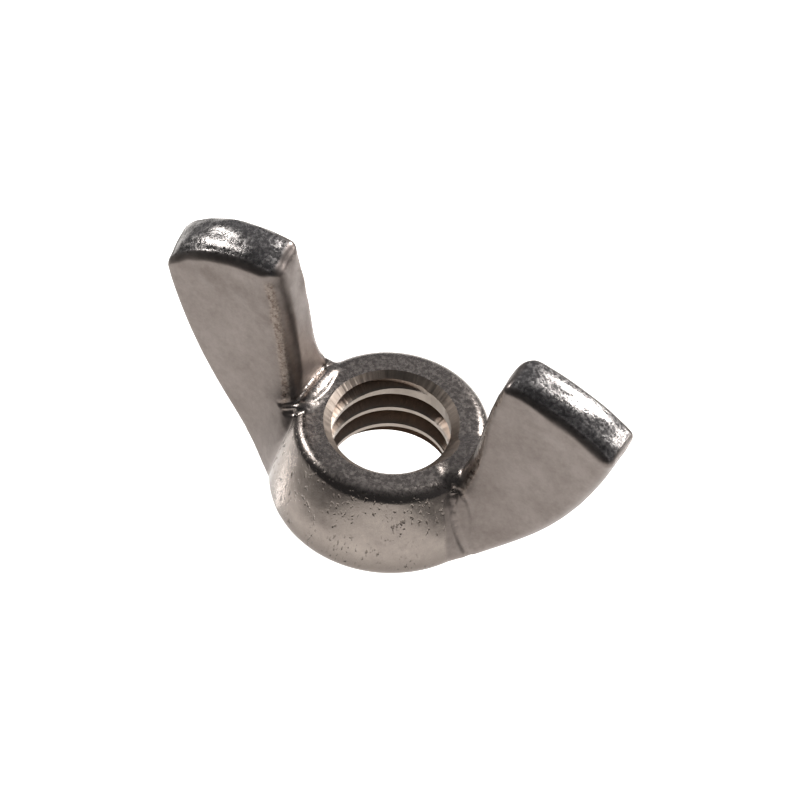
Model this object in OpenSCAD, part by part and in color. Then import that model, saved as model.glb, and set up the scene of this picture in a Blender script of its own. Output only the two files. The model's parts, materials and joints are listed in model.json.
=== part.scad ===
// Cold-forged wing nut with a 5/16-18 UNC thread, made in one piece.
// Millimetres, +Z up. The origin is the middle of the base, and the wings
// lie along X. They are one shape, set half a turn apart.

/* [Tapped hole] */
// Diameter of the hole at the thread's crests (UNC 2B)
bore_d = 6.6; // [6.41:0.01:6.73]
// Diameter of the countersink in the rim
rim_sink_d = 7.5; // [7:0.1:8]
// Diameter of the countersink in the base
base_sink_d = 8.1; // [7:0.1:9]

/* [Hub] */
// Height of the hub from its base to its rim
hub_h = 5.5; // [5.2:0.1:6.4]
// Widest diameter of the hub, just above its base
base_d = 13.1; // [12.6:0.1:14.6]
// Diameter of the hub just below the rim
rim_d = 10.9; // [10:0.1:11.4]
// Radius of the rim's rolled edge
rim_edge_r = 0.55; // [0.3:0.05:0.8]
// Radius of the edge round the base
base_edge_r = 0.75; // [0.4:0.05:1]

/* [Wings] */
// Spread over the two wing tips
spread = 27.8; // [27.2:0.1:30]
// Height of a wing's inner corner, below the crown
wing_h = 14.15; // [13.2:0.1:16]
// Clear distance between the inner corners of the two ends
mouth = 13.9; // [13:0.1:15]
// Fall of the end face from its inner to its outer corner
end_fall = 2.5; // [2:0.1:3.5]
// Rise of the end face's arch: the two ends are struck a little differently
end_arch = [0.35, 0.8]; // [0:0.05:1]
// Thickness of a wing at its end
wing_t = 2.75; // [2.4:0.05:3]
// Thickness of a wing where it springs from the hub
root_t = 6.2; // [4:0.1:6.4]
// Share of the wing's length over which the thick root thins down
root_fade = 0.2; // [0.1:0.02:0.3]
// How far the rounded inner edge stands out
nose = 0.9; // [0.5:0.05:1.2]
// Radius of the corners along the wing's outer edge
edge_r = 0.6; // [0.3:0.05:1]
// Height of the crown on the end face
crown_h = 0.8; // [0.3:0.05:0.9]
// Width over which the crown rolls down to the sides
crown_w = 0.85; // [0.4:0.05:1]

/* [Hidden] */

$fn = 96;
arc_steps = 7;          // flats on each rolled edge of the hub
stations = 16;          // sections up one wing
crown_steps = 5;        // sections over the crown
nose_steps = 10;        // flats round the inner edge of a section
corner_steps = 4;       // flats on each outer corner of a section
side_steps = 5;         // flats along each side of a section
overrun = 1;            // how far a cutter passes the face it cuts

bore_r = bore_d / 2;
rim_sink = (rim_sink_d - bore_d) / 2;    // 45 degree countersinks
base_sink = (base_sink_d - bore_d) / 2;
steel = [0.60, 0.57, 0.55];

// Centre lines of the wing's two edges in the XZ plane, as Bezier handles.
// Both start inside the hub and end at the corners of the end face.
end_in = [mouth / 2, wing_h];
end_out = [spread / 2, wing_h - end_fall];
edge_in = [[4.3, 4.2], [5.75, 6.4], [5.6, 9.3], end_in];
edge_out = [[5.0, 0.1], [9.0, 0.3], [end_out[0] - 1.4, end_out[1] - 5], end_out];

function bezier(p, t) =
    pow(1 - t, 3) * p[0] + 3 * t * pow(1 - t, 2) * p[1]
    + 3 * t * t * (1 - t) * p[2] + pow(t, 3) * p[3];

function arc(c, r, from, to, steps) =
    [for (i = [0 : steps]) let (a = from + (to - from) * i / steps)
        [c[0] + r[0] * cos(a), c[1] + r[1] * sin(a)]];

function between(a, b, steps) = [for (i = [1 : steps - 1]) a + (b - a) * i / steps];

// Section of a wing: x runs from the inner edge to the outer one, y is the
// thickness. The inner edge is half an ellipse and the outer has two corners.
function section(width, thick, corner) =
    let (h = thick / 2)
    concat(
        arc([nose, 0], [nose, h], 90, 270, nose_steps),
        between([nose, -h], [width - corner, -h], side_steps),
        arc([width - corner, corner - h], [corner, corner], -90, 0, corner_steps),
        arc([width - corner, h - corner], [corner, corner], 0, 90, corner_steps),
        between([width - corner, h], [nose, h], side_steps)
    );

// One ring of the loft: the section at t along the wing, drawn in by inset and
// lifted off its plane by lift. The last rings follow the end face's arch.
function ring(t, arch, inset = 0, lift = 0) =
    let (
        a = bezier(edge_in, t),
        b = bezier(edge_out, t),
        width = norm(b - a),
        along = (b - a) / width,
        up = [-along[1], along[0]],
        thick = wing_t + (root_t - wing_t) * exp(-t / root_fade),
        flat = section(width - 2 * inset, thick - 2 * inset, max(edge_r - inset, 0.1))
    )
    [for (q = flat)
        let (
            s = q[0] + inset,
            p = a + along * s + up * (lift + arch * pow(t, 3) * sin(180 * s / width))
        )
        [p[0], q[1], p[1]]];

// Side faces between rings of n points, with the first and last ring capped.
function skin(rings, n) =
    concat(
        [[for (j = [0 : n - 1]) j]],
        [for (i = [0 : rings - 2], j = [0 : n - 1])
            let (a = i * n, b = a + n, k = (j + 1) % n) [a + j, b + j, b + k]],
        [for (i = [0 : rings - 2], j = [0 : n - 1])
            let (a = i * n, b = a + n, k = (j + 1) % n) [a + j, b + k, a + k]],
        cap((rings - 1) * n)
    );

// The last ring is arched, so strips between its two sides close it.
function cap(first) =
    let (
        n = nose_steps + 2 * corner_steps + 2 * side_steps + 1,
        mid = nose_steps / 2,
        half = floor(n / 2)
    )
    concat(
        [for (i = [0 : half - 1]) let (
            a = first + (mid + i) % n, b = first + (mid + i + 1) % n,
            d = first + (mid - i + n) % n, c = first + (mid - i - 1 + n) % n)
            each (a == d ? [[a, c, b]] : b == c ? [[a, d, b]] : [[a, d, c], [a, c, b]])]
    );

module wing(arch) {
    body = [for (i = [0 : stations]) ring(i / stations, arch)];
    crown = [for (i = [1 : crown_steps])
        let (a = 90 * i / crown_steps)
        ring(1, arch, crown_w * (1 - cos(a)), crown_h * sin(a))];
    rings = concat(body, crown);
    polyhedron([for (r = rings) each r], skin(len(rings), len(rings[0])), convexity = 4);
}

// Hub without its hole: a blunt cone with a rolled rim and a rounded base edge.
module hub() {
    base_r = base_d / 2;
    rim_r = rim_d / 2;
    lean = atan2(base_r - rim_r, hub_h - rim_edge_r - base_edge_r);
    base_edge = [base_edge_r, base_edge_r];
    rim_edge = [rim_edge_r, rim_edge_r];
    rotate_extrude()
        polygon(concat(
            [[0, 0]],
            arc([base_r - base_edge_r, base_edge_r], base_edge, -90, lean, arc_steps),
            arc([rim_r - rim_edge_r, hub_h - rim_edge_r], rim_edge, lean, 90, arc_steps),
            [[0, hub_h]]
        ));
}

// The hole at its crest diameter, countersunk at both ends. The thread's
// grooves lie outside this wall, so the wall is where a bolt is centred.
module tapped_hole() {
    translate([0, 0, -overrun])
        cylinder(r = bore_r, h = hub_h + 2 * overrun);
    translate([0, 0, -overrun])
        cylinder(r1 = bore_r + base_sink + overrun, r2 = bore_r, h = base_sink + overrun);
    translate([0, 0, hub_h - rim_sink])
        cylinder(r1 = bore_r, r2 = bore_r + rim_sink + overrun, h = rim_sink + overrun);
}

module wing_nut() {
    color(steel)
        difference() {
            union() {
                hub();
                wing(end_arch[0]);
                rotate([0, 0, 180]) wing(end_arch[1]);
            }
            tapped_hole();
        }
}

wing_nut();
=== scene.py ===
import json
import math
import bmesh
import bpy
import numpy as np
from mathutils import Matrix, Vector

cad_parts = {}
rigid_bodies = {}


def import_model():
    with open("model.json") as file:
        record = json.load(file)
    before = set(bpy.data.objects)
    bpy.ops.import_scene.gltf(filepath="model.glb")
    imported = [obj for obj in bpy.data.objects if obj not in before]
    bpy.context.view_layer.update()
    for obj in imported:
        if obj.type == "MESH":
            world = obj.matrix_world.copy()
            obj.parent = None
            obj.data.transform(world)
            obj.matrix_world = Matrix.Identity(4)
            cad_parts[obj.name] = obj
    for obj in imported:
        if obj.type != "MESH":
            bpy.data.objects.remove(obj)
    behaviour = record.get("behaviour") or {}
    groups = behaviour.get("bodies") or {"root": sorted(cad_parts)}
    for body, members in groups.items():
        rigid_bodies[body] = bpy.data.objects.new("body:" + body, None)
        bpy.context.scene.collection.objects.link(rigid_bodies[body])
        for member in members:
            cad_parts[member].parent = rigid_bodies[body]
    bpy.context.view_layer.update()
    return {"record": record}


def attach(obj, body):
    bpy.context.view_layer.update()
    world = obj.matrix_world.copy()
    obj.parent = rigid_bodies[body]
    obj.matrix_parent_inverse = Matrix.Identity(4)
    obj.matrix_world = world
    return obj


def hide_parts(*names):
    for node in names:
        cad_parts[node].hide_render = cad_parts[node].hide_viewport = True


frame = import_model()
print("frame loaded")

mm = 0.001


def srgb(code):
    # hex colour to the linear values that a shader wants
    parts = [int(code[i:i + 2], 16) / 255 for i in (1, 3, 5)]
    return [c / 12.92 if c <= 0.04045 else ((c + 0.055) / 1.055) ** 2.4 for c in parts] + [1]


def addNode(tree, kind, settings=None, **links):
    # settings go on the node; links and values go to the sockets of that name or number
    node = tree.nodes.new(kind)
    for name, value in (settings or {}).items():
        setattr(node, name, value)
    for name, value in links.items():
        key = int(name[1:]) if name[0] == "n" and name[1:].isdigit() else name.replace("_", " ")
        socket = node.inputs[key]
        if isinstance(value, bpy.types.Node):
            value = value.outputs[0]
        if isinstance(value, bpy.types.NodeSocket):
            tree.links.new(value, socket)
        else:
            socket.default_value = value
    return node


# all the shape values below are in millimetres
hub = {
    "height": 5.5,
    "baseRadius": 6.55,
    "rimRadius": 5.45,
    "baseEdge": 0.75,       # rolled edge round the base
    "rimEdge": 0.53,        # rolled edge of the rim
    "bulge": 0.05,          # how far the side swells out at half its height,
    "bulgeZ": 2.7,
    "bulgeBend": 0.02,      # and how fast the swell dies out above and below that
}
wing = {
    "thickness": 2.75,
    "rootSpread": 1.9,      # how much each face flares where it leaves the hub
    "rootFade": 1.3,        # distance over which the flare dies out
    "rootFall": 0.12,       # how much the flare shrinks per mm of height
    # radii of the long edges, which differ because the two die halves are a little out of line
    "innerBack": 1.15,
    "innerFront": ((0.5, 1.1), (0.4, 0.55)),    # at the top and the root of +X, then of -X
    "innerChange": (11, 6),                     # heights between which the one turns into the other
    "outerBack": 0.3,
    "outerFront": 0.7,
    "endEdge": 0.13,
    "crown": 0.6,
    "arch": (0.35, 0.85),   # rise of the end face, for the +X and the -X wing
    "tilt": (0.12, 0.25),   # slope of the end face towards +Y, in the same order
    "endBorder": 0.36,      # smooth border of the end face
    "endSink": 0.05,        # how far the face inside the border lies below it
    "cornerEdge": 0.25,     # extra rounding at the two corners of the end face
    "footZ": 0.15,          # the wings end this far above the base
}


def roundMax(a, b, r):
    # both must hold, with the corner between them rounded
    corner = np.hypot(np.maximum(a + r, 0), np.maximum(b + r, 0))
    return np.minimum(np.maximum(a, b), -r) + corner


def smoothMin(a, b, k):
    # either may hold, with a fillet of about k between them
    h = np.clip(0.5 + 0.5 * (b - a) / k, 0, 1)
    return b + (a - b) * h - k * h * (1 - h)


def smoothStep(x, start, end):
    t = np.clip((x - start) / (end - start), 0, 1)
    return t * t * (3 - 2 * t)


def hubField(p):
    r = np.hypot(p[:, 0], p[:, 1])
    z = p[:, 2]
    drop = hub["height"] - hub["rimEdge"] - hub["baseEdge"]
    lean = math.atan2(hub["baseRadius"] - hub["rimRadius"], drop)
    foot = hub["baseRadius"] - hub["baseEdge"]
    reach = (r - foot) * math.cos(lean) + (z - hub["baseEdge"]) * math.sin(lean)
    side = reach - hub["baseEdge"] + hub["bulgeBend"] * (z - hub["bulgeZ"]) ** 2 - hub["bulge"]
    body = roundMax(side, z - hub["height"], hub["rimEdge"])
    return roundMax(body, -z, hub["baseEdge"])


def bezier(points, steps=200):
    t = np.linspace(0, 1, steps)[:, None]
    a, b, c, d = (np.array(q, float) for q in points)
    return (1 - t) ** 3 * a + 3 * t * (1 - t) ** 2 * b + 3 * t * t * (1 - t) * c + t ** 3 * d


endIn = np.array([6.98, 14.15])
endOut = np.array([13.83, 11.65])
edgeIn = bezier([(4.3, 4.2), (5.75, 6.4), (5.6, 9.3), endIn])
edgeOut = bezier([(5.0, 0.1), (9.0, 0.3), endOut - (1.4, 5), endOut])


def edgeField(x, z, curve):
    # signed distance to an edge seen from the front, positive on its +X side
    tail = curve[-1] + (curve[-1] - curve[-2]) * 60
    curve = np.vstack([curve, tail])
    slope = np.gradient(curve[:, 0], curve[:, 1])
    m = np.interp(z, curve[:, 1], slope)
    return (x - np.interp(z, curve[:, 1], curve[:, 0])) / np.sqrt(1 + m * m)


def endPlace(p, turn, half):
    # share of the way along the wing's end, height above its chord, and depth inside its border
    x, y, z = p[:, 0] * turn, p[:, 1] * turn, p[:, 2]
    width = np.linalg.norm(endOut - endIn)
    along = (endOut - endIn) / width
    s = (x - endIn[0]) * along[0] + (z - endIn[1]) * along[1]
    lift = (z - endIn[1]) * along[0] - (x - endIn[0]) * along[1]
    inside = np.minimum.reduce([half - np.abs(y), s, width - s])
    return np.clip(s / width, 0, 1), lift, inside


def wingField(p, turn, nearHub, full=False):
    # turn is 1 for the +X wing and -1 for the other, which is the same half a turn round;
    # full also gives the distances that the zones of the finish go by
    x, y, z = p[:, 0] * turn, p[:, 1] * turn, p[:, 2]
    side = 0 if turn > 0 else 1
    fade = np.exp(-np.maximum(nearHub, 0) / wing["rootFade"])
    flare = (wing["rootSpread"] - wing["rootFall"] * z) * fade
    half = wing["thickness"] / 2 + np.maximum(flare, 0)
    back, front = y - half, -y - half
    atTop, atRoot = wing["innerFront"][side]
    inner, outer = -edgeField(x, z, edgeIn), edgeField(x, z, edgeOut)
    sides = np.maximum.reduce([
        roundMax(back, inner, wing["innerBack"]),
        roundMax(front, inner, atTop + (atRoot - atTop) * smoothStep(z, *wing["innerChange"])),
        roundMax(back, outer, wing["outerBack"]),
        roundMax(front, outer, wing["outerFront"]),
    ])
    share, lift, inside = endPlace(p, turn, half)
    arch = wing["arch"][side] * np.sin(math.pi * share)
    arch = arch + wing["tilt"][side] * (p[:, 1] + wing["thickness"] / 2)
    pillow = np.clip(1 - np.abs(y / half) ** 3, -1, 1) * (1 - np.abs(2 * share - 1) ** 6)
    sink = wing["endSink"] * smoothStep(inside, wing["endBorder"] - 0.08, wing["endBorder"] + 0.1)
    end = lift - arch - wing["crown"] * pillow + sink
    edge = wing["endEdge"] + wing["cornerEdge"] * np.abs(2 * share - 1) ** 8
    whole = np.maximum(roundMax(sides, end, edge), wing["footZ"] - z)
    if full:
        return whole, end, np.maximum(back, front), inner, inside
    return whole


# where the dies squeezed the metal at the wing roots: a lobe on the +X side and a collar on the
# other, each with its centre, its radii and how softly it joins the wing
rootLumps = {
    1: [((4.85, -0.3, 5.35), (1.35, 1.6, 0.62), 0.25)],
    -1: [((4.95, 0.1, 5.3), (0.75, 1.85, 0.5), 0.12)],
}


def lumpField(p, turn, centre, radii):
    q = p * (turn, turn, 1) - centre
    near = np.linalg.norm(q / radii, axis=1)
    steep = np.linalg.norm(q / np.square(radii), axis=1)
    return near * (near - 1) / np.maximum(steep, 1e-6)


# folds and laps left by the dies: corners of a path along the surface, its width and its depth
folds = [
    # the leaf-shaped lap where the +X wing's front leaves the hub
    ([(5.2, -2.0, 5.0), (5.3, -2.4, 4.4), (5.6, -2.65, 3.3), (6.0, -2.6, 1.9),
      (6.5, -2.4, 0.7)], 0.14, 0.3),
    ([(5.5, -1.7, 5.0), (5.95, -1.85, 4.5), (6.3, -2.0, 3.6), (6.5, -2.15, 2.3),
      (6.6, -2.3, 0.9)], 0.1, 0.16),
    # the collar at the root of the -X wing
    ([(-5.85, -1.75, 5.2), (-5.4, -1.5, 5.4), (-5.25, -0.8, 5.7), (-5.2, 0.1, 5.8),
      (-5.2, 1.3, 5.6)], 0.13, 0.2),
    ([(-5.5, -2.0, 4.95), (-5.1, -1.85, 5.1), (-4.6, -1.95, 5.4)], 0.12, 0.2),
    ([(-4.9, -1.35, 5.4), (-4.35, -0.9, 5.5), (-4.15, 0.1, 5.5), (-4.2, 1.3, 5.5)], 0.12, 0.06),
]


def pathDistance(p, path):
    best = np.full(len(p), np.inf)
    for a, b in zip(path, path[1:]):
        line = b - a
        t = np.clip(((p - a) @ line) / (line @ line), 0, 1)
        best = np.minimum(best, np.linalg.norm(p - a - t[:, None] * line, axis=1))
    return best


def waves(p):
    # slow unevenness of a forged surface, about one either way
    total = 0
    for i in range(7):
        turn = np.array([math.sin(2.4 * i), math.cos(3.1 * i), math.sin(1.7 * i + 1)])
        length = 1.3 + 0.35 * i
        total = total + np.sin(p @ turn * (2 * math.pi / length) + 1.9 * i)
    return total / 3


# height of that unevenness, and the heights between which one turns into the other
uneven = {"body": 0.004, "ends": 0.03, "change": (9.5, 12.5)}

# fillet between a wing and the hub: at the hub's side, and what the rim adds to it
joint = {"fillet": 0.2, "atRim": 0.35, "change": (4.9, 5.7)}


def plainField(p):
    body = hubField(p)
    blend = joint["fillet"] + joint["atRim"] * smoothStep(p[:, 2], *joint["change"])
    shape = body
    for turn in (1, -1):
        limb = wingField(p, turn, body)
        for centre, radii, soft in rootLumps[turn]:
            limb = smoothMin(limb, lumpField(p, turn, centre, radii), soft)
        shape = smoothMin(shape, limb, blend)
    return shape


def bodyField(p):
    high = smoothStep(p[:, 2], *uneven["change"])
    shape = plainField(p) + waves(p) * (uneven["body"] + (uneven["ends"] - uneven["body"]) * high)
    for path, width, depth in foldPaths:
        middle = path.mean(0)
        near = np.linalg.norm(p - middle, axis=1) < np.linalg.norm(path - middle, axis=1).max() + 1
        gap = pathDistance(p[near], path)
        shape[near] += depth * np.exp(-(gap / width) ** 2)
    return shape


def slopeOf(field, points, step=0.004):
    value = field(points)
    slope = np.stack([field(points + step * np.eye(3)[axis]) - value for axis in range(3)], axis=1)
    return value, slope / step


def ontoSurface(field, points, rounds=4):
    # Newton steps along the slope, none longer than about a quarter of a millimetre
    for _ in range(rounds):
        value, slope = slopeOf(field, points)
        size = np.maximum((slope ** 2).sum(1), 0.05)
        points = points - np.clip(value / size, -0.25, 0.25)[:, None] * slope
    return points


def foldPath(corners):
    # a smooth path through the corners, laid on the surface
    corners = np.array(corners)
    along = np.linspace(0, len(corners) - 1, 6 * len(corners))
    path = np.stack(
        [np.interp(along, range(len(corners)), corners[:, axis]) for axis in range(3)], axis=1)
    path[1:-1] = (path[:-2] + path[1:-1] * 2 + path[2:]) / 4
    return ontoSurface(plainField, path, 8)


foldPaths = [(foldPath(corners), width, depth) for corners, width, depth in folds]


def settle(points, edges, rounds=3):
    # moves every point onto the body's surface, and spreads them evenly along it
    count = np.bincount(edges.ravel(), minlength=len(points))[:, None]
    for _ in range(rounds):
        points = ontoSurface(bodyField, points)
        total = np.zeros_like(points)
        for axis in range(3):
            total[:, axis] = (
                np.bincount(edges[:, 0], points[edges[:, 1], axis], len(points))
                + np.bincount(edges[:, 1], points[edges[:, 0], axis], len(points)))
        points = points * 0.5 + total / count * 0.5
    return ontoSurface(bodyField, points)


def makeObject(name, mesh):
    obj = bpy.data.objects.new(name, mesh)
    bpy.context.scene.collection.objects.link(obj)
    return obj


def baked(obj, name):
    # the evaluated object as a plain mesh
    graph = bpy.context.evaluated_depsgraph_get()
    mesh = bpy.data.meshes.new_from_object(obj.evaluated_get(graph))
    mesh.name = name
    return mesh


def blockOut():
    # a rough hub and two slabs, in millimetres and a little too big, that the remesh joins
    bm = bmesh.new()
    bmesh.ops.create_cone(
        bm, cap_ends=True, segments=96, radius1=hub["baseRadius"] - 0.1,
        radius2=hub["rimRadius"], depth=hub["height"],
        matrix=Matrix.Translation((0, 0, hub["height"] / 2)))
    across = endOut - endIn
    up = np.array([-across[1], across[0]]) / np.linalg.norm(across)
    for turn in (1, -1):
        half = wing["thickness"] / 2 + 0.05
        arch = wing["arch"][0 if turn > 0 else 1]
        top = [
            endIn + across * t + up * (arch * math.sin(math.pi * t) + wing["crown"])
            for t in np.linspace(0, 1, 12)]
        outline = list(edgeIn[::20]) + top + list(edgeOut[-20::-20]) + [edgeOut[0]]
        sides = [
            [bm.verts.new((turn * x, y, z)) for x, z in outline] for y in (-half, half)
        ]
        n = len(outline)
        for i in range(n):
            j = (i + 1) % n
            bm.faces.new((sides[0][i], sides[0][j], sides[1][j], sides[1][i]))
        bm.faces.new(sides[0])
        bm.faces.new(sides[1][::-1])
        # the flare at the root, which leans with the hub: its plan at the base and at the rim
        rings = []
        for z, rise, reach in ((0.2, 0.55, hub["baseRadius"]), (5.2, 0.0, hub["rimRadius"])):
            plan = [
                (2.0, 3.0, z), (reach - 0.75, 3.0, z), (reach + 0.35, 2.45, z + rise),
                (reach + 1.4, 1.75, z + 2.5 * rise)]
            plan += [(x, -y, z) for x, y, z in reversed(plan)]
            rings.append([bm.verts.new((turn * x, y, z)) for x, y, z in plan])
        for i in range(len(rings[0])):
            j = (i + 1) % len(rings[0])
            bm.faces.new((rings[0][i], rings[0][j], rings[1][j], rings[1][i]))
        bm.faces.new(rings[0][::-1])
        bm.faces.new(rings[1])
    bmesh.ops.recalc_face_normals(bm, faces=bm.faces)
    mesh = bpy.data.meshes.new("blockOut")
    bm.to_mesh(mesh)
    bm.free()
    return mesh


def forgedBody(voxel):
    rough = makeObject("blockOut", blockOut())
    remesh = rough.modifiers.new("remesh", "REMESH")
    remesh.mode = "VOXEL"
    remesh.voxel_size = voxel
    mesh = baked(rough, "forgedBody")
    bpy.data.objects.remove(rough)
    points = np.empty(len(mesh.vertices) * 3)
    mesh.vertices.foreach_get("co", points)
    edges = np.empty(len(mesh.edges) * 2, int)
    mesh.edges.foreach_get("vertices", edges)
    points = settle(points.reshape(-1, 3), edges.reshape(-1, 2))
    mesh.vertices.foreach_set("co", points.ravel())
    mesh.update()
    return mesh


mount = next(item for item in frame["record"]["mounts"] if item["name"] == "thread")
thread = {
    "pitch": 1.411,         # 5/16-18 UNC
    "crestRadius": mount["dims"]["r_mm"],
    "rootRadius": 3.969,
    "mouth": 0.41,          # half the groove's width at the crest, as a share of the pitch
    "overlap": 0.15,        # how far inside the bore the cutter starts
    "rimSink": 0.45,        # depths of the two countersinks
    "baseSink": 0.75,
    "topTurnZ": 5.07,       # height of the groove's run-out at the front
    "runOut": 0.07,         # share of the groove's length over which it fades
    "turns": 4.8,
}


def threadTree(material):
    # sweeps the groove's trapezoid along a right-hand helix
    tree = bpy.data.node_groups.new("threadGroove", "GeometryNodeTree")
    for name in ("Pitch", "Turns", "Crest Radius", "Depth", "Top", "Run Out"):
        tree.interface.new_socket(name, in_out="INPUT", socket_type="NodeSocketFloat")
    tree.interface.new_socket("Geometry", in_out="OUTPUT", socket_type="NodeSocketGeometry")
    given = tree.nodes.new("NodeGroupInput").outputs
    mathNode = "ShaderNodeMath"
    times, less, plus = ({"operation": name} for name in ("MULTIPLY", "SUBTRACT", "ADD"))

    height = addNode(tree, mathNode, times, n0=given["Pitch"], n1=given["Turns"])
    helix = addNode(
        tree, "GeometryNodeCurveSpiral", Resolution=96, Rotations=given["Turns"],
        Start_Radius=given["Crest Radius"], End_Radius=given["Crest Radius"], Height=height)
    # the last point sits at the front, a quarter turn back from +X
    lastTurn = addNode(tree, mathNode, times, n0=given["Turns"], n1=-2 * math.pi)
    spin = addNode(
        tree, "ShaderNodeCombineXYZ", Z=addNode(tree, mathNode, less, n0=lastTurn, n1=math.pi / 2))
    drop = addNode(
        tree, "ShaderNodeCombineXYZ", Z=addNode(tree, mathNode, less, n0=given["Top"], n1=height))
    placed = addNode(
        tree, "GeometryNodeTransform", Geometry=helix, Translation=drop, Rotation=spin)
    # the groove gets shallower over its last stretch, as a tap leaves it
    share = addNode(tree, "GeometryNodeSplineParameter").outputs["Factor"]
    deepest = addNode(tree, mathNode, times, n0=given["Depth"], n1=-1.15)
    fade = addNode(
        tree, "ShaderNodeMapRange", {"interpolation_type": "SMOOTHSTEP"}, Value=share,
        From_Min=addNode(tree, mathNode, less, n0=1.0, n1=given["Run Out"]), From_Max=1.0, To_Min=0.0,
        To_Max=addNode(tree, mathNode, {"operation": "DIVIDE"}, n0=deepest, n1=given["Crest Radius"]))
    level = addNode(tree, "ShaderNodeCombineXYZ", X=1.0, Y=1.0)
    where = addNode(tree, "GeometryNodeInputPosition")
    outward = addNode(tree, "ShaderNodeVectorMath", {"operation": "MULTIPLY"}, n0=where, n1=level)
    pull = addNode(
        tree, "ShaderNodeVectorMath", {"operation": "SCALE"}, n0=outward, Scale=fade)
    faded = addNode(tree, "GeometryNodeSetPosition", Geometry=placed, Offset=pull)
    upright = addNode(tree, "GeometryNodeSetCurveNormal", {"mode": "Z_UP"}, Curve=faded)
    # 60 degree groove, which starts inside the bore and leaves a narrow crest between its turns
    overlap, flank = thread["overlap"], math.tan(math.radians(30))
    mouth = addNode(tree, mathNode, times, n0=given["Pitch"], n1=thread["mouth"])
    wide = addNode(tree, mathNode, plus, n0=mouth, n1=overlap * flank)
    taper = addNode(tree, mathNode, times, n0=given["Depth"], n1=flank)
    narrow = addNode(tree, mathNode, less, n0=mouth, n1=taper)
    # the curve's normal points at the axis, so depth is negative
    deep = addNode(tree, mathNode, times, n0=given["Depth"], n1=-1.0)
    corners = []
    for radial, half, sign in (
            (overlap, wide, -1), (deep, narrow, -1), (deep, narrow, 1), (overlap, wide, 1)):
        side = addNode(tree, mathNode, times, n0=half, n1=float(sign))
        corners.append(addNode(tree, "ShaderNodeCombineXYZ", X=radial, Y=side))
    profile = addNode(
        tree, "GeometryNodeCurvePrimitiveQuadrilateral", {"mode": "POINTS"},
        Point_1=corners[0], Point_2=corners[1], Point_3=corners[2], Point_4=corners[3])
    swept = addNode(
        tree, "GeometryNodeCurveToMesh", Curve=upright, Profile_Curve=profile, Fill_Caps=True)
    real = addNode(tree, "GeometryNodeRealizeInstances", Geometry=swept)
    done = addNode(tree, "GeometryNodeSetMaterial", Geometry=real, Material=material)
    addNode(tree, "NodeGroupOutput", Geometry=done)
    return tree


def grooveCutter(material):
    tree = threadTree(material)
    cutter = makeObject("groove", bpy.data.meshes.new("groove"))
    modifier = cutter.modifiers.new("thread", "NODES")
    modifier.node_group = tree
    values = {
        "Pitch": thread["pitch"], "Turns": thread["turns"],
        "Crest Radius": thread["crestRadius"],
        "Depth": thread["rootRadius"] - thread["crestRadius"],
        "Top": thread["topTurnZ"], "Run Out": thread["runOut"],
    }
    for item in tree.interface.items_tree:
        if item.in_out == "INPUT":
            modifier[item.identifier] = values[item.name]
    mesh = baked(cutter, "groove")
    bpy.data.objects.remove(cutter)
    return closed(mesh)


def closed(mesh):
    # merges doubles and turns every face outwards
    bm = bmesh.new()
    bm.from_mesh(mesh)
    bmesh.ops.remove_doubles(bm, verts=bm.verts, dist=1e-5)
    bmesh.ops.recalc_face_normals(bm, faces=bm.faces)
    bm.to_mesh(mesh)
    bm.free()
    return mesh


def boreCutter(material):
    # the drilled hole with its two countersinks, turned about Z
    crest, top, past = thread["crestRadius"], hub["height"], 1.0
    rim, base = thread["rimSink"], thread["baseSink"]
    outline = [
        (0, -past), (crest + base + past, -past), (crest, base), (crest, top - rim),
        (crest + rim + past, top + past), (0, top + past),
    ]
    bm = bmesh.new()
    points = [bm.verts.new((r, 0, z)) for r, z in outline]
    lines = [bm.edges.new(pair) for pair in zip(points, points[1:])]
    bmesh.ops.spin(
        bm, geom=points + lines, cent=(0, 0, 0), axis=(0, 0, 1), angle=2 * math.pi, steps=160,
        use_duplicate=False)
    bmesh.ops.remove_doubles(bm, verts=bm.verts, dist=1e-3)
    bmesh.ops.recalc_face_normals(bm, faces=bm.faces)
    mesh = bpy.data.meshes.new("bore")
    bm.to_mesh(mesh)
    bm.free()
    mesh.materials.append(material)
    return mesh


def cutAway(obj, cutters):
    for mesh in cutters:
        tool = makeObject(mesh.name, mesh)
        cut = obj.modifiers.new(mesh.name, "BOOLEAN")
        cut.operation = "DIFFERENCE"
        cut.solver = "EXACT"
        cut.material_mode = "TRANSFER"
        cut.object = tool
        result = baked(obj, obj.data.name)
        obj.modifiers.remove(cut)
        obj.data = result
        bpy.data.objects.remove(tool)


def startMetal(name):
    # an empty metal material, with Object coordinates in millimetres
    material = bpy.data.materials.new(name)
    material.use_nodes = True
    tree = material.node_tree
    tree.nodes.clear()
    shader = addNode(tree, "ShaderNodeBsdfPrincipled", Metallic=1.0)
    addNode(tree, "ShaderNodeOutputMaterial", Surface=shader)
    place = addNode(
        tree, "ShaderNodeVectorMath", {"operation": "SCALE"},
        n0=addNode(tree, "ShaderNodeTexCoord").outputs["Object"], Scale=1 / mm)
    return material, tree, shader, place


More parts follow.
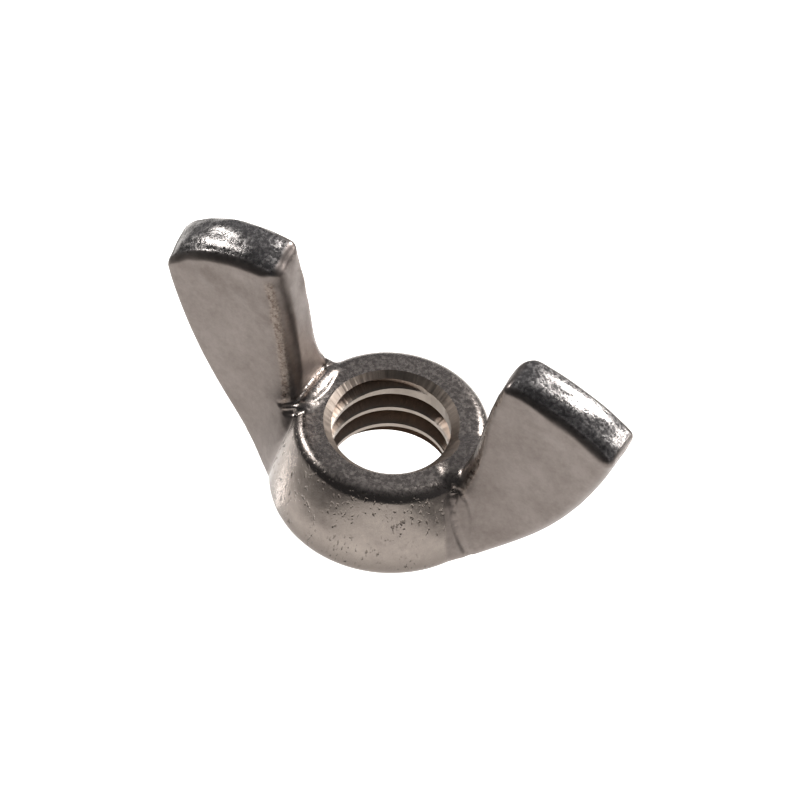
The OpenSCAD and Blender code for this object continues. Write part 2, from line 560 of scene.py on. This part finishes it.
steel = {
    # each zone's two colours, which follow soft blotches, and its roughness between two values
    # painted shade: the broad faces' two colours are darker than the hub's, a dim reflection painted
    # into them
    "flats": ("#6F6661", "#857C77", 0.33, 0.4),
    "side": ("#8A807A", "#9F958D", 0.15, 0.24),
    "rim": ("#877E78", "#A39A93", 0.2, 0.34),
    "ends": ("#85807D", "#ABA6A3", 0.14, 0.36),
    "seam": ("#5C4E45", "#9A8E85", 0.24, 0.45),
    "blotch": 2.2,          # sizes of the patterns in mm: soft blotches left by pickling,
    "speckle": 0.4,         # fine dull specks,
    "grain": 0.09,          # the satin's own grain,
    "peening": 0.2,         # dents from the tumbling stones,
    "pit": 0.16,            # pits in the hub's side, drawn a little coarse so that they show,
    "pitPatch": 1.6,        # and the patches in which they gather
    "pitScale": "#4A4039",  # dark scale on the floor of a pit
    "foot": "#6A625D",      # painted shade: the darker colour the hub's side turns to above its base
    # heights of the patterns in mm
    "grainHeight": 0.0022,
    "peenHeight": {"ends": 0.022, "rim": 0.014, "seam": 0.05},
    "pitDepth": -0.02,
}


def forgedSteel():
    # stainless steel, hot forged, pickled and tumbled: a warm grey satin on the broad faces, darkened
    # with painted shade, a soft polish on the hub, and a sparkling peened skin where the stones hit
    # the ends and the rim
    material, tree, shader, place = startMetal("forgedStainless")
    times, plus = ({"operation": name} for name in ("MULTIPLY", "ADD"))
    blotch = addNode(
        tree, "ShaderNodeTexNoise", Vector=place, Scale=1 / steel["blotch"], Detail=4.0,
        Roughness=0.6)
    speckle = addNode(
        tree, "ShaderNodeTexNoise", Vector=place, Scale=1 / steel["speckle"], Detail=4.0,
        Roughness=0.75)
    mottled = addNode(tree, "ShaderNodeMix", n0=0.45, n2=blotch, n3=speckle)
    soft = addNode(
        tree, "ShaderNodeMapRange", Value=mottled, From_Min=0.36, From_Max=0.62)
    peening = addNode(
        tree, "ShaderNodeTexNoise", Vector=place, Scale=1 / steel["peening"], Detail=4.0,
        Roughness=0.65, Distortion=0.3)
    peened = addNode(
        tree, "ShaderNodeMapRange", Value=peening, From_Min=0.36, From_Max=0.64)
    grain = addNode(
        tree, "ShaderNodeTexNoise", Vector=place, Scale=1 / steel["grain"], Detail=2.0)

    zones = {
        name: addNode(tree, "ShaderNodeAttribute", {"attribute_name": name}).outputs["Fac"]
        for name in ("side", "rim", "ends", "seam")
    }
    colour = rough = None
    for name in ("flats", "side", "rim", "ends", "seam"):
        dark, light, low, high = steel[name]
        pattern = soft if name in ("flats", "side") else peened
        tone = addNode(
            tree, "ShaderNodeMix", {"data_type": "RGBA"}, n0=pattern, n6=srgb(dark),
            n7=srgb(light)).outputs[2]
        gloss = addNode(tree, "ShaderNodeMapRange", Value=pattern, To_Min=low, To_Max=high)
        if colour is None:
            colour, rough = tone, gloss
            continue
        colour = addNode(
            tree, "ShaderNodeMix", {"data_type": "RGBA"}, n0=zones[name], n6=colour,
            n7=tone).outputs[2]
        rough = addNode(
            tree, "ShaderNodeMix", n0=zones[name], n2=rough, n3=gloss)

    # pits: short strokes that lean with the hub's side, gathered in patches
    lean = addNode(
        tree, "ShaderNodeMapping", Vector=place, Rotation=(0.0, 0.35, 0.0), Scale=(1, 1, 0.38))
    spots = addNode(
        tree, "ShaderNodeTexNoise", Vector=lean, Scale=1 / steel["pit"], Detail=1.0)
    pits = addNode(
        tree, "ShaderNodeMapRange", Value=spots, From_Min=0.6, From_Max=0.7)
    patch = addNode(
        tree, "ShaderNodeTexNoise", Vector=place, Scale=1 / steel["pitPatch"], Detail=1.0)
    gathered = addNode(
        tree, "ShaderNodeMapRange", Value=patch, From_Min=0.4, From_Max=0.55)
    pits = addNode(tree, "ShaderNodeMath", times, n0=pits, n1=gathered)
    pits = addNode(tree, "ShaderNodeMath", times, n0=pits, n1=zones["side"])
    # the floor of a pit keeps the dark scale
    colour = addNode(
        tree, "ShaderNodeMix", {"data_type": "RGBA"},
        n0=addNode(tree, "ShaderNodeMath", times, n0=pits, n1=0.55), n6=colour,
        n7=srgb(steel["pitScale"])).outputs[2]

    # painted shade: the hub's side gets darker towards its base, near the sheet it stands on
    low = addNode(
        tree, "ShaderNodeMapRange", {"interpolation_type": "SMOOTHSTEP"},
        Value=addNode(tree, "ShaderNodeSeparateXYZ", Vector=place).outputs["Z"], From_Min=2.0,
        From_Max=0.5, To_Max=0.75)
    low = addNode(tree, "ShaderNodeMath", times, n0=low, n1=zones["side"])
    colour = addNode(
        tree, "ShaderNodeMix", {"data_type": "RGBA"}, n0=low, n6=colour,
        n7=srgb(steel["foot"])).outputs[2]

    # heights in mm, so the bump's distance is one millimetre
    height = addNode(tree, "ShaderNodeMath", times, n0=grain, n1=steel["grainHeight"])
    for zone, high in steel["peenHeight"].items():
        part = addNode(tree, "ShaderNodeMath", times, n0=zones[zone], n1=peening)
        part = addNode(tree, "ShaderNodeMath", times, n0=part, n1=high)
        height = addNode(tree, "ShaderNodeMath", plus, n0=height, n1=part)
    part = addNode(tree, "ShaderNodeMath", times, n0=pits, n1=steel["pitDepth"])
    height = addNode(tree, "ShaderNodeMath", plus, n0=height, n1=part)
    bump = addNode(tree, "ShaderNodeBump", Strength=1.0, Distance=mm, Height=height)
    tree.links.new(colour, shader.inputs["Base Color"])
    tree.links.new(rough.outputs[0], shader.inputs["Roughness"])
    tree.links.new(bump.outputs[0], shader.inputs["Normal"])
    return material


cutMetal = {
    "crest": "#988E85",     # rubbed bright by the bolt
    "flank": "#9A897C",
    "root": "#75655A",      # cutting oil stays at the bottom of the groove
    "clean": ("#8A7B70", "#BFB2A6"),    # the countersink at the rim, between its marks and on them
    "chatter": 0.22,        # mm between the marks that the tap and the countersink leave
    "chatterHeight": 0.05,
    "stain": 0.9,           # size of the stains, in mm
}


def tappedSteel():
    # stainless steel cut by a countersink and a tap: brown in the groove, bright on the crests,
    # with fine marks across the cut
    material, tree, shader, place = startMetal("tappedStainless")
    level = addNode(
        tree, "ShaderNodeVectorMath", {"operation": "MULTIPLY"}, n0=place, n1=(1.0, 1.0, 0.0))
    radius = addNode(
        tree, "ShaderNodeVectorMath", {"operation": "LENGTH"}, n0=level).outputs["Value"]
    around = addNode(
        tree, "ShaderNodeVectorMath", {"operation": "SCALE"},
        n0=addNode(tree, "ShaderNodeVectorMath", {"operation": "NORMALIZE"}, n0=level),
        Scale=thread["crestRadius"])
    marks = addNode(
        tree, "ShaderNodeTexNoise", Vector=around, Scale=1 / cutMetal["chatter"], Detail=3.0)
    stain = addNode(
        tree, "ShaderNodeTexNoise", Vector=place, Scale=1 / cutMetal["stain"], Detail=3.0)
    depth = addNode(
        tree, "ShaderNodeMapRange", Value=radius, From_Min=thread["crestRadius"] + 0.03,
        From_Max=thread["rootRadius"])
    ramp = addNode(tree, "ShaderNodeValToRGB", Fac=depth)
    ramp.color_ramp.elements[0].color = srgb(cutMetal["crest"])
    ramp.color_ramp.elements[1].color = srgb(cutMetal["root"])
    middle = ramp.color_ramp.elements.new(0.2)
    middle.color = srgb(cutMetal["flank"])
    # the countersink at the rim is cleaner than the groove
    high = addNode(tree, "ShaderNodeSeparateXYZ", Vector=place).outputs["Z"]
    sunk = addNode(
        tree, "ShaderNodeMapRange", Value=high, From_Min=hub["height"] - thread["rimSink"] - 0.1,
        From_Max=hub["height"] - thread["rimSink"])
    clean = addNode(
        tree, "ShaderNodeMix", {"data_type": "RGBA"}, n0=marks, n6=srgb(cutMetal["clean"][0]),
        n7=srgb(cutMetal["clean"][1])).outputs[2]
    colour = addNode(
        tree, "ShaderNodeMix", {"data_type": "RGBA"}, n0=sunk, n6=ramp, n7=clean)
    tree.links.new(colour.outputs[2], shader.inputs["Base Color"])
    rough = addNode(tree, "ShaderNodeMapRange", Value=stain, To_Min=0.25, To_Max=0.6)
    tree.links.new(rough.outputs[0], shader.inputs["Roughness"])
    height = addNode(
        tree, "ShaderNodeMath", {"operation": "MULTIPLY"}, n0=marks, n1=cutMetal["chatterHeight"])
    bump = addNode(tree, "ShaderNodeBump", Strength=1.0, Distance=mm, Height=height)
    tree.links.new(bump.outputs[0], shader.inputs["Normal"])
    return material


# where the zones of the finish begin and are full, as distances in mm from the surface, the edge
# or the end that bounds them, and how strong the two weaker ones are
zoneEdges = {
    "hub": (0.02, 0.3),
    "rimBelow": (0.25, 0.04),
    "wing": (0.3, 0.1),
    "endFace": (-0.25, -0.05),
    "endInside": (0.15, 0.45),
    "seamFrom": (0.02, 0.07),
    "seamTo": (0.4, 0.18),
    "seamInner": (-1.3, -0.7),
    "seamBelow": (-0.3, -1.0),
    "seamOut": (0.3, 0.9),
    "rubbedInner": (-0.4, -0.1),
    "rubbedBelow": (-0.1, -0.4),
    "lump": (0.12, 0.02),
    "lumpHeight": (4.9, 5.3),
    "rubbedShare": 0.8,
    "seamShare": 0.9,
}


def markZones(mesh):
    # writes how much each point belongs to each zone of the finish, for the material to read
    points = np.empty(len(mesh.vertices) * 3)
    mesh.vertices.foreach_get("co", points)
    points = points.reshape(-1, 3) / mm
    z = points[:, 2]
    nearHub = hubField(points)
    wings = [wingField(points, turn, nearHub, full=True) for turn in (1, -1)]
    onWing = np.minimum(wings[0][0], wings[1][0])
    hubOnly = smoothStep(onWing - nearHub, *zoneEdges["hub"])
    top = smoothStep(z, *(hub["height"] - below for below in zoneEdges["rimBelow"]))
    ends, seam, rubbed = np.zeros((3, len(z)))
    for whole, end, face, inner, inside in wings:
        near = smoothStep(whole, *zoneEdges["wing"])
        atEnd = smoothStep(end, *zoneEdges["endFace"])
        ends = np.maximum(ends, near * (atEnd * smoothStep(inside, *zoneEdges["endInside"])))
        # the seam runs where the broad face turns into the inner edge
        edge = smoothStep(-face, *zoneEdges["seamFrom"]) * smoothStep(-face, *zoneEdges["seamTo"])
        edge = edge * smoothStep(inner, *zoneEdges["seamInner"])
        edge = edge * smoothStep(end, *zoneEdges["seamBelow"])
        seam = np.maximum(seam, near * edge * smoothStep(nearHub, *zoneEdges["seamOut"]))
        # the inner edge itself is rubbed as smooth as the hub's side
        edge = near * smoothStep(inner, *zoneEdges["rubbedInner"])
        rubbed = np.maximum(rubbed, edge * smoothStep(end, *zoneEdges["rubbedBelow"]))
    lumps = np.minimum.reduce([
        lumpField(points, turn, centre, radii)
        for turn, parts in rootLumps.items() for centre, radii, soft in parts])
    onLump = smoothStep(lumps, *zoneEdges["lump"]) * smoothStep(z, *zoneEdges["lumpHeight"])
    rim = np.maximum(top * hubOnly, onLump)
    side = np.maximum(hubOnly, rubbed * zoneEdges["rubbedShare"]) * (1 - top)
    zones = {"side": side, "rim": rim, "ends": ends, "seam": seam * zoneEdges["seamShare"]}
    for name, value in zones.items():
        attribute = mesh.attributes.new(name, "FLOAT", "POINT")
        attribute.data.foreach_set("value", value.astype(np.float32))


detail = {
    "voxel": 0.105,         # mm; much finer than this and the piece passes 200,000 triangles
    "quickVoxel": 0.14,
    "sharpAngle": 32,       # degrees from which an edge of the thread is drawn sharp
}


def makeNut():
    forged, tapped = forgedSteel(), tappedSteel()
    voxel = detail["voxel"]
    mesh = forgedBody(voxel)
    mesh.materials.append(forged)
    print("forged body:", len(mesh.vertices), "points")
    nut = makeObject("forgedWingNut", mesh)
    cutAway(nut, [boreCutter(tapped), grooveCutter(tapped)])
    nut.data.transform(Matrix.Scale(mm, 4))
    nut.data.shade_smooth()
    nut.data.set_sharp_from_angle(angle=math.radians(detail["sharpAngle"]))
    markZones(nut.data)
    print("tapped:", len(nut.data.polygons), "faces", [m.name for m in nut.data.materials])
    return nut


nut = makeNut()
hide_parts("wing_nut")
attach(nut, "root")

view = {
    "azimuth": 25.65,
    "elevation": 50.0,
    "roll": 4.84,
    "distance": 350,        # mm, a long lens from well back
    "lens": 283.7,
    "right": 0.76,          # where the camera points, in mm across and up its own view
    "up": 4.73,
    "sensor": 36,
}


def makeCamera():
    az, el, roll = (math.radians(view[k]) for k in ("azimuth", "elevation", "roll"))
    back = Vector((math.sin(az) * math.cos(el), -math.cos(az) * math.cos(el), math.sin(el)))
    right = Vector((math.cos(az), math.sin(az), 0))
    up = back.cross(right)
    right, up = (
        math.cos(roll) * right + math.sin(roll) * up,
        math.cos(roll) * up - math.sin(roll) * right)
    place = (back * view["distance"] + right * view["right"] + up * view["up"]) * mm
    data = bpy.data.cameras.new("camera")
    data.lens = view["lens"]
    data.sensor_width = view["sensor"]
    data.clip_start = 0.01
    camera = makeObject("camera", data)
    turn = Matrix((right, up, back)).transposed().to_4x4()
    camera.matrix_world = Matrix.Translation(place) @ turn
    bpy.context.scene.camera = camera


lights = {
    # azimuth and elevation in degrees (0 is +X, 90 is +Y), distance and size in mm, watts
    "backRight": (66, 40, 260, 90, 0.8),
    "left": (183, 35, 260, 50, 0.25),
    "rightLow": (38, 14, 260, 40, 0.12),
}
lightAim = 6                # mm above the sheet


def makeLights():
    for name, (azimuth, elevation, distance, size, power) in lights.items():
        az, el = math.radians(azimuth), math.radians(elevation)
        out = Vector((math.cos(az) * math.cos(el), math.sin(az) * math.cos(el), math.sin(el)))
        data = bpy.data.lights.new(name, "AREA")
        data.shape = "DISK"
        data.size = size * mm
        data.energy = power
        lamp = makeObject(name, data)
        place = Matrix.Translation((out * distance + Vector((0, 0, lightAim))) * mm)
        lamp.matrix_world = place @ out.to_track_quat("Z", "Y").to_matrix().to_4x4()


sweep = {
    "below": 60,            # mm from the clear sheet down to the paper
    "half": 1500,           # half the side of the sheet and of the paper
    "acrylic": 1.49,        # index of refraction of the clear sheet
    "paper": "#B9B8B6",
    "glow": "#FFFEFC",
    "middle": -5,           # how far the middle of the lit strip lies to the side
    "lit": 100,             # half its width, and where its soft edge ends
    "edge": 124,
    "near": 1.3,            # its own brightness, and that of the paper beside it
    "far": 0.16,
}


def makeFloor():
    # the nut stands on a clear acrylic sheet, well above a sweep of pale paper that glows with
    # painted light, brightest in a strip that runs straight away from the camera
    for name, z in (("clearSheet", 0), ("paleSweep", -sweep["below"] * mm)):
        bm = bmesh.new()
        bmesh.ops.create_grid(
            bm, x_segments=1, y_segments=1, size=sweep["half"] * mm,
            matrix=Matrix.Translation((0, 0, z)))
        mesh = bpy.data.meshes.new(name)
        bm.to_mesh(mesh)
        bm.free()
        material = bpy.data.materials.new(name)
        material.use_nodes = True
        tree = material.node_tree
        tree.nodes.clear()
        if name == "clearSheet":
            shader = addNode(
                tree, "ShaderNodeMixShader",
                Fac=addNode(tree, "ShaderNodeFresnel", IOR=sweep["acrylic"]),
                n1=addNode(tree, "ShaderNodeBsdfTransparent"),
                n2=addNode(tree, "ShaderNodeBsdfGlossy", Roughness=0.05))
        else:
            place = addNode(tree, "ShaderNodeTexCoord").outputs["Object"]
            turn = math.radians(view["azimuth"])
            across = addNode(
                tree, "ShaderNodeVectorMath", {"operation": "DOT_PRODUCT"}, n0=place,
                n1=(math.cos(turn), math.sin(turn), 0.0)).outputs["Value"]
            aside = addNode(
                tree, "ShaderNodeMath", {"operation": "SUBTRACT"}, n0=across,
                n1=sweep["middle"] * mm)
            aside = addNode(tree, "ShaderNodeMath", {"operation": "ABSOLUTE"}, n0=aside)
            # painted light: the paper's own glow, bright in the strip and dim beside it
            glow = addNode(
                tree, "ShaderNodeMapRange", {"interpolation_type": "SMOOTHSTEP"}, Value=aside,
                From_Min=sweep["lit"] * mm, From_Max=sweep["edge"] * mm, To_Min=sweep["near"],
                To_Max=sweep["far"])
            shader = addNode(
                tree, "ShaderNodeBsdfPrincipled", Base_Color=srgb(sweep["paper"]),
                Roughness=0.9, Emission_Color=srgb(sweep["glow"]), Emission_Strength=glow)
        addNode(tree, "ShaderNodeOutputMaterial", Surface=shader)
        mesh.materials.append(material)
        makeObject(name, mesh)


room = {
    "tone": "#F6F8FF",
    "front": 0.06,          # its brightness in front of the nut and behind it,
    "behind": 0.27,
    "change": (-0.6, 0.75),     # and between which parts of the Y axis it changes
}


def makeWorld():
    # a dim room, darker in front of the nut than behind it
    world = bpy.data.worlds.new("studio")
    bpy.context.scene.world = world
    world.use_nodes = True
    tree = world.node_tree
    tree.nodes.clear()
    way = addNode(tree, "ShaderNodeTexCoord").outputs["Generated"]
    behind = addNode(tree, "ShaderNodeSeparateXYZ", Vector=way).outputs["Y"]
    shade = addNode(
        tree, "ShaderNodeMapRange", {"interpolation_type": "SMOOTHSTEP"}, Value=behind,
        From_Min=room["change"][0], From_Max=room["change"][1], To_Min=room["front"],
        To_Max=room["behind"])
    light = addNode(tree, "ShaderNodeBackground", Color=srgb(room["tone"]), Strength=shade)
    addNode(tree, "ShaderNodeOutputWorld", Surface=light)


makeCamera()
makeLights()
makeFloor()
makeWorld()
bpy.context.scene.view_settings.view_transform = "Standard"
print("studio ready")
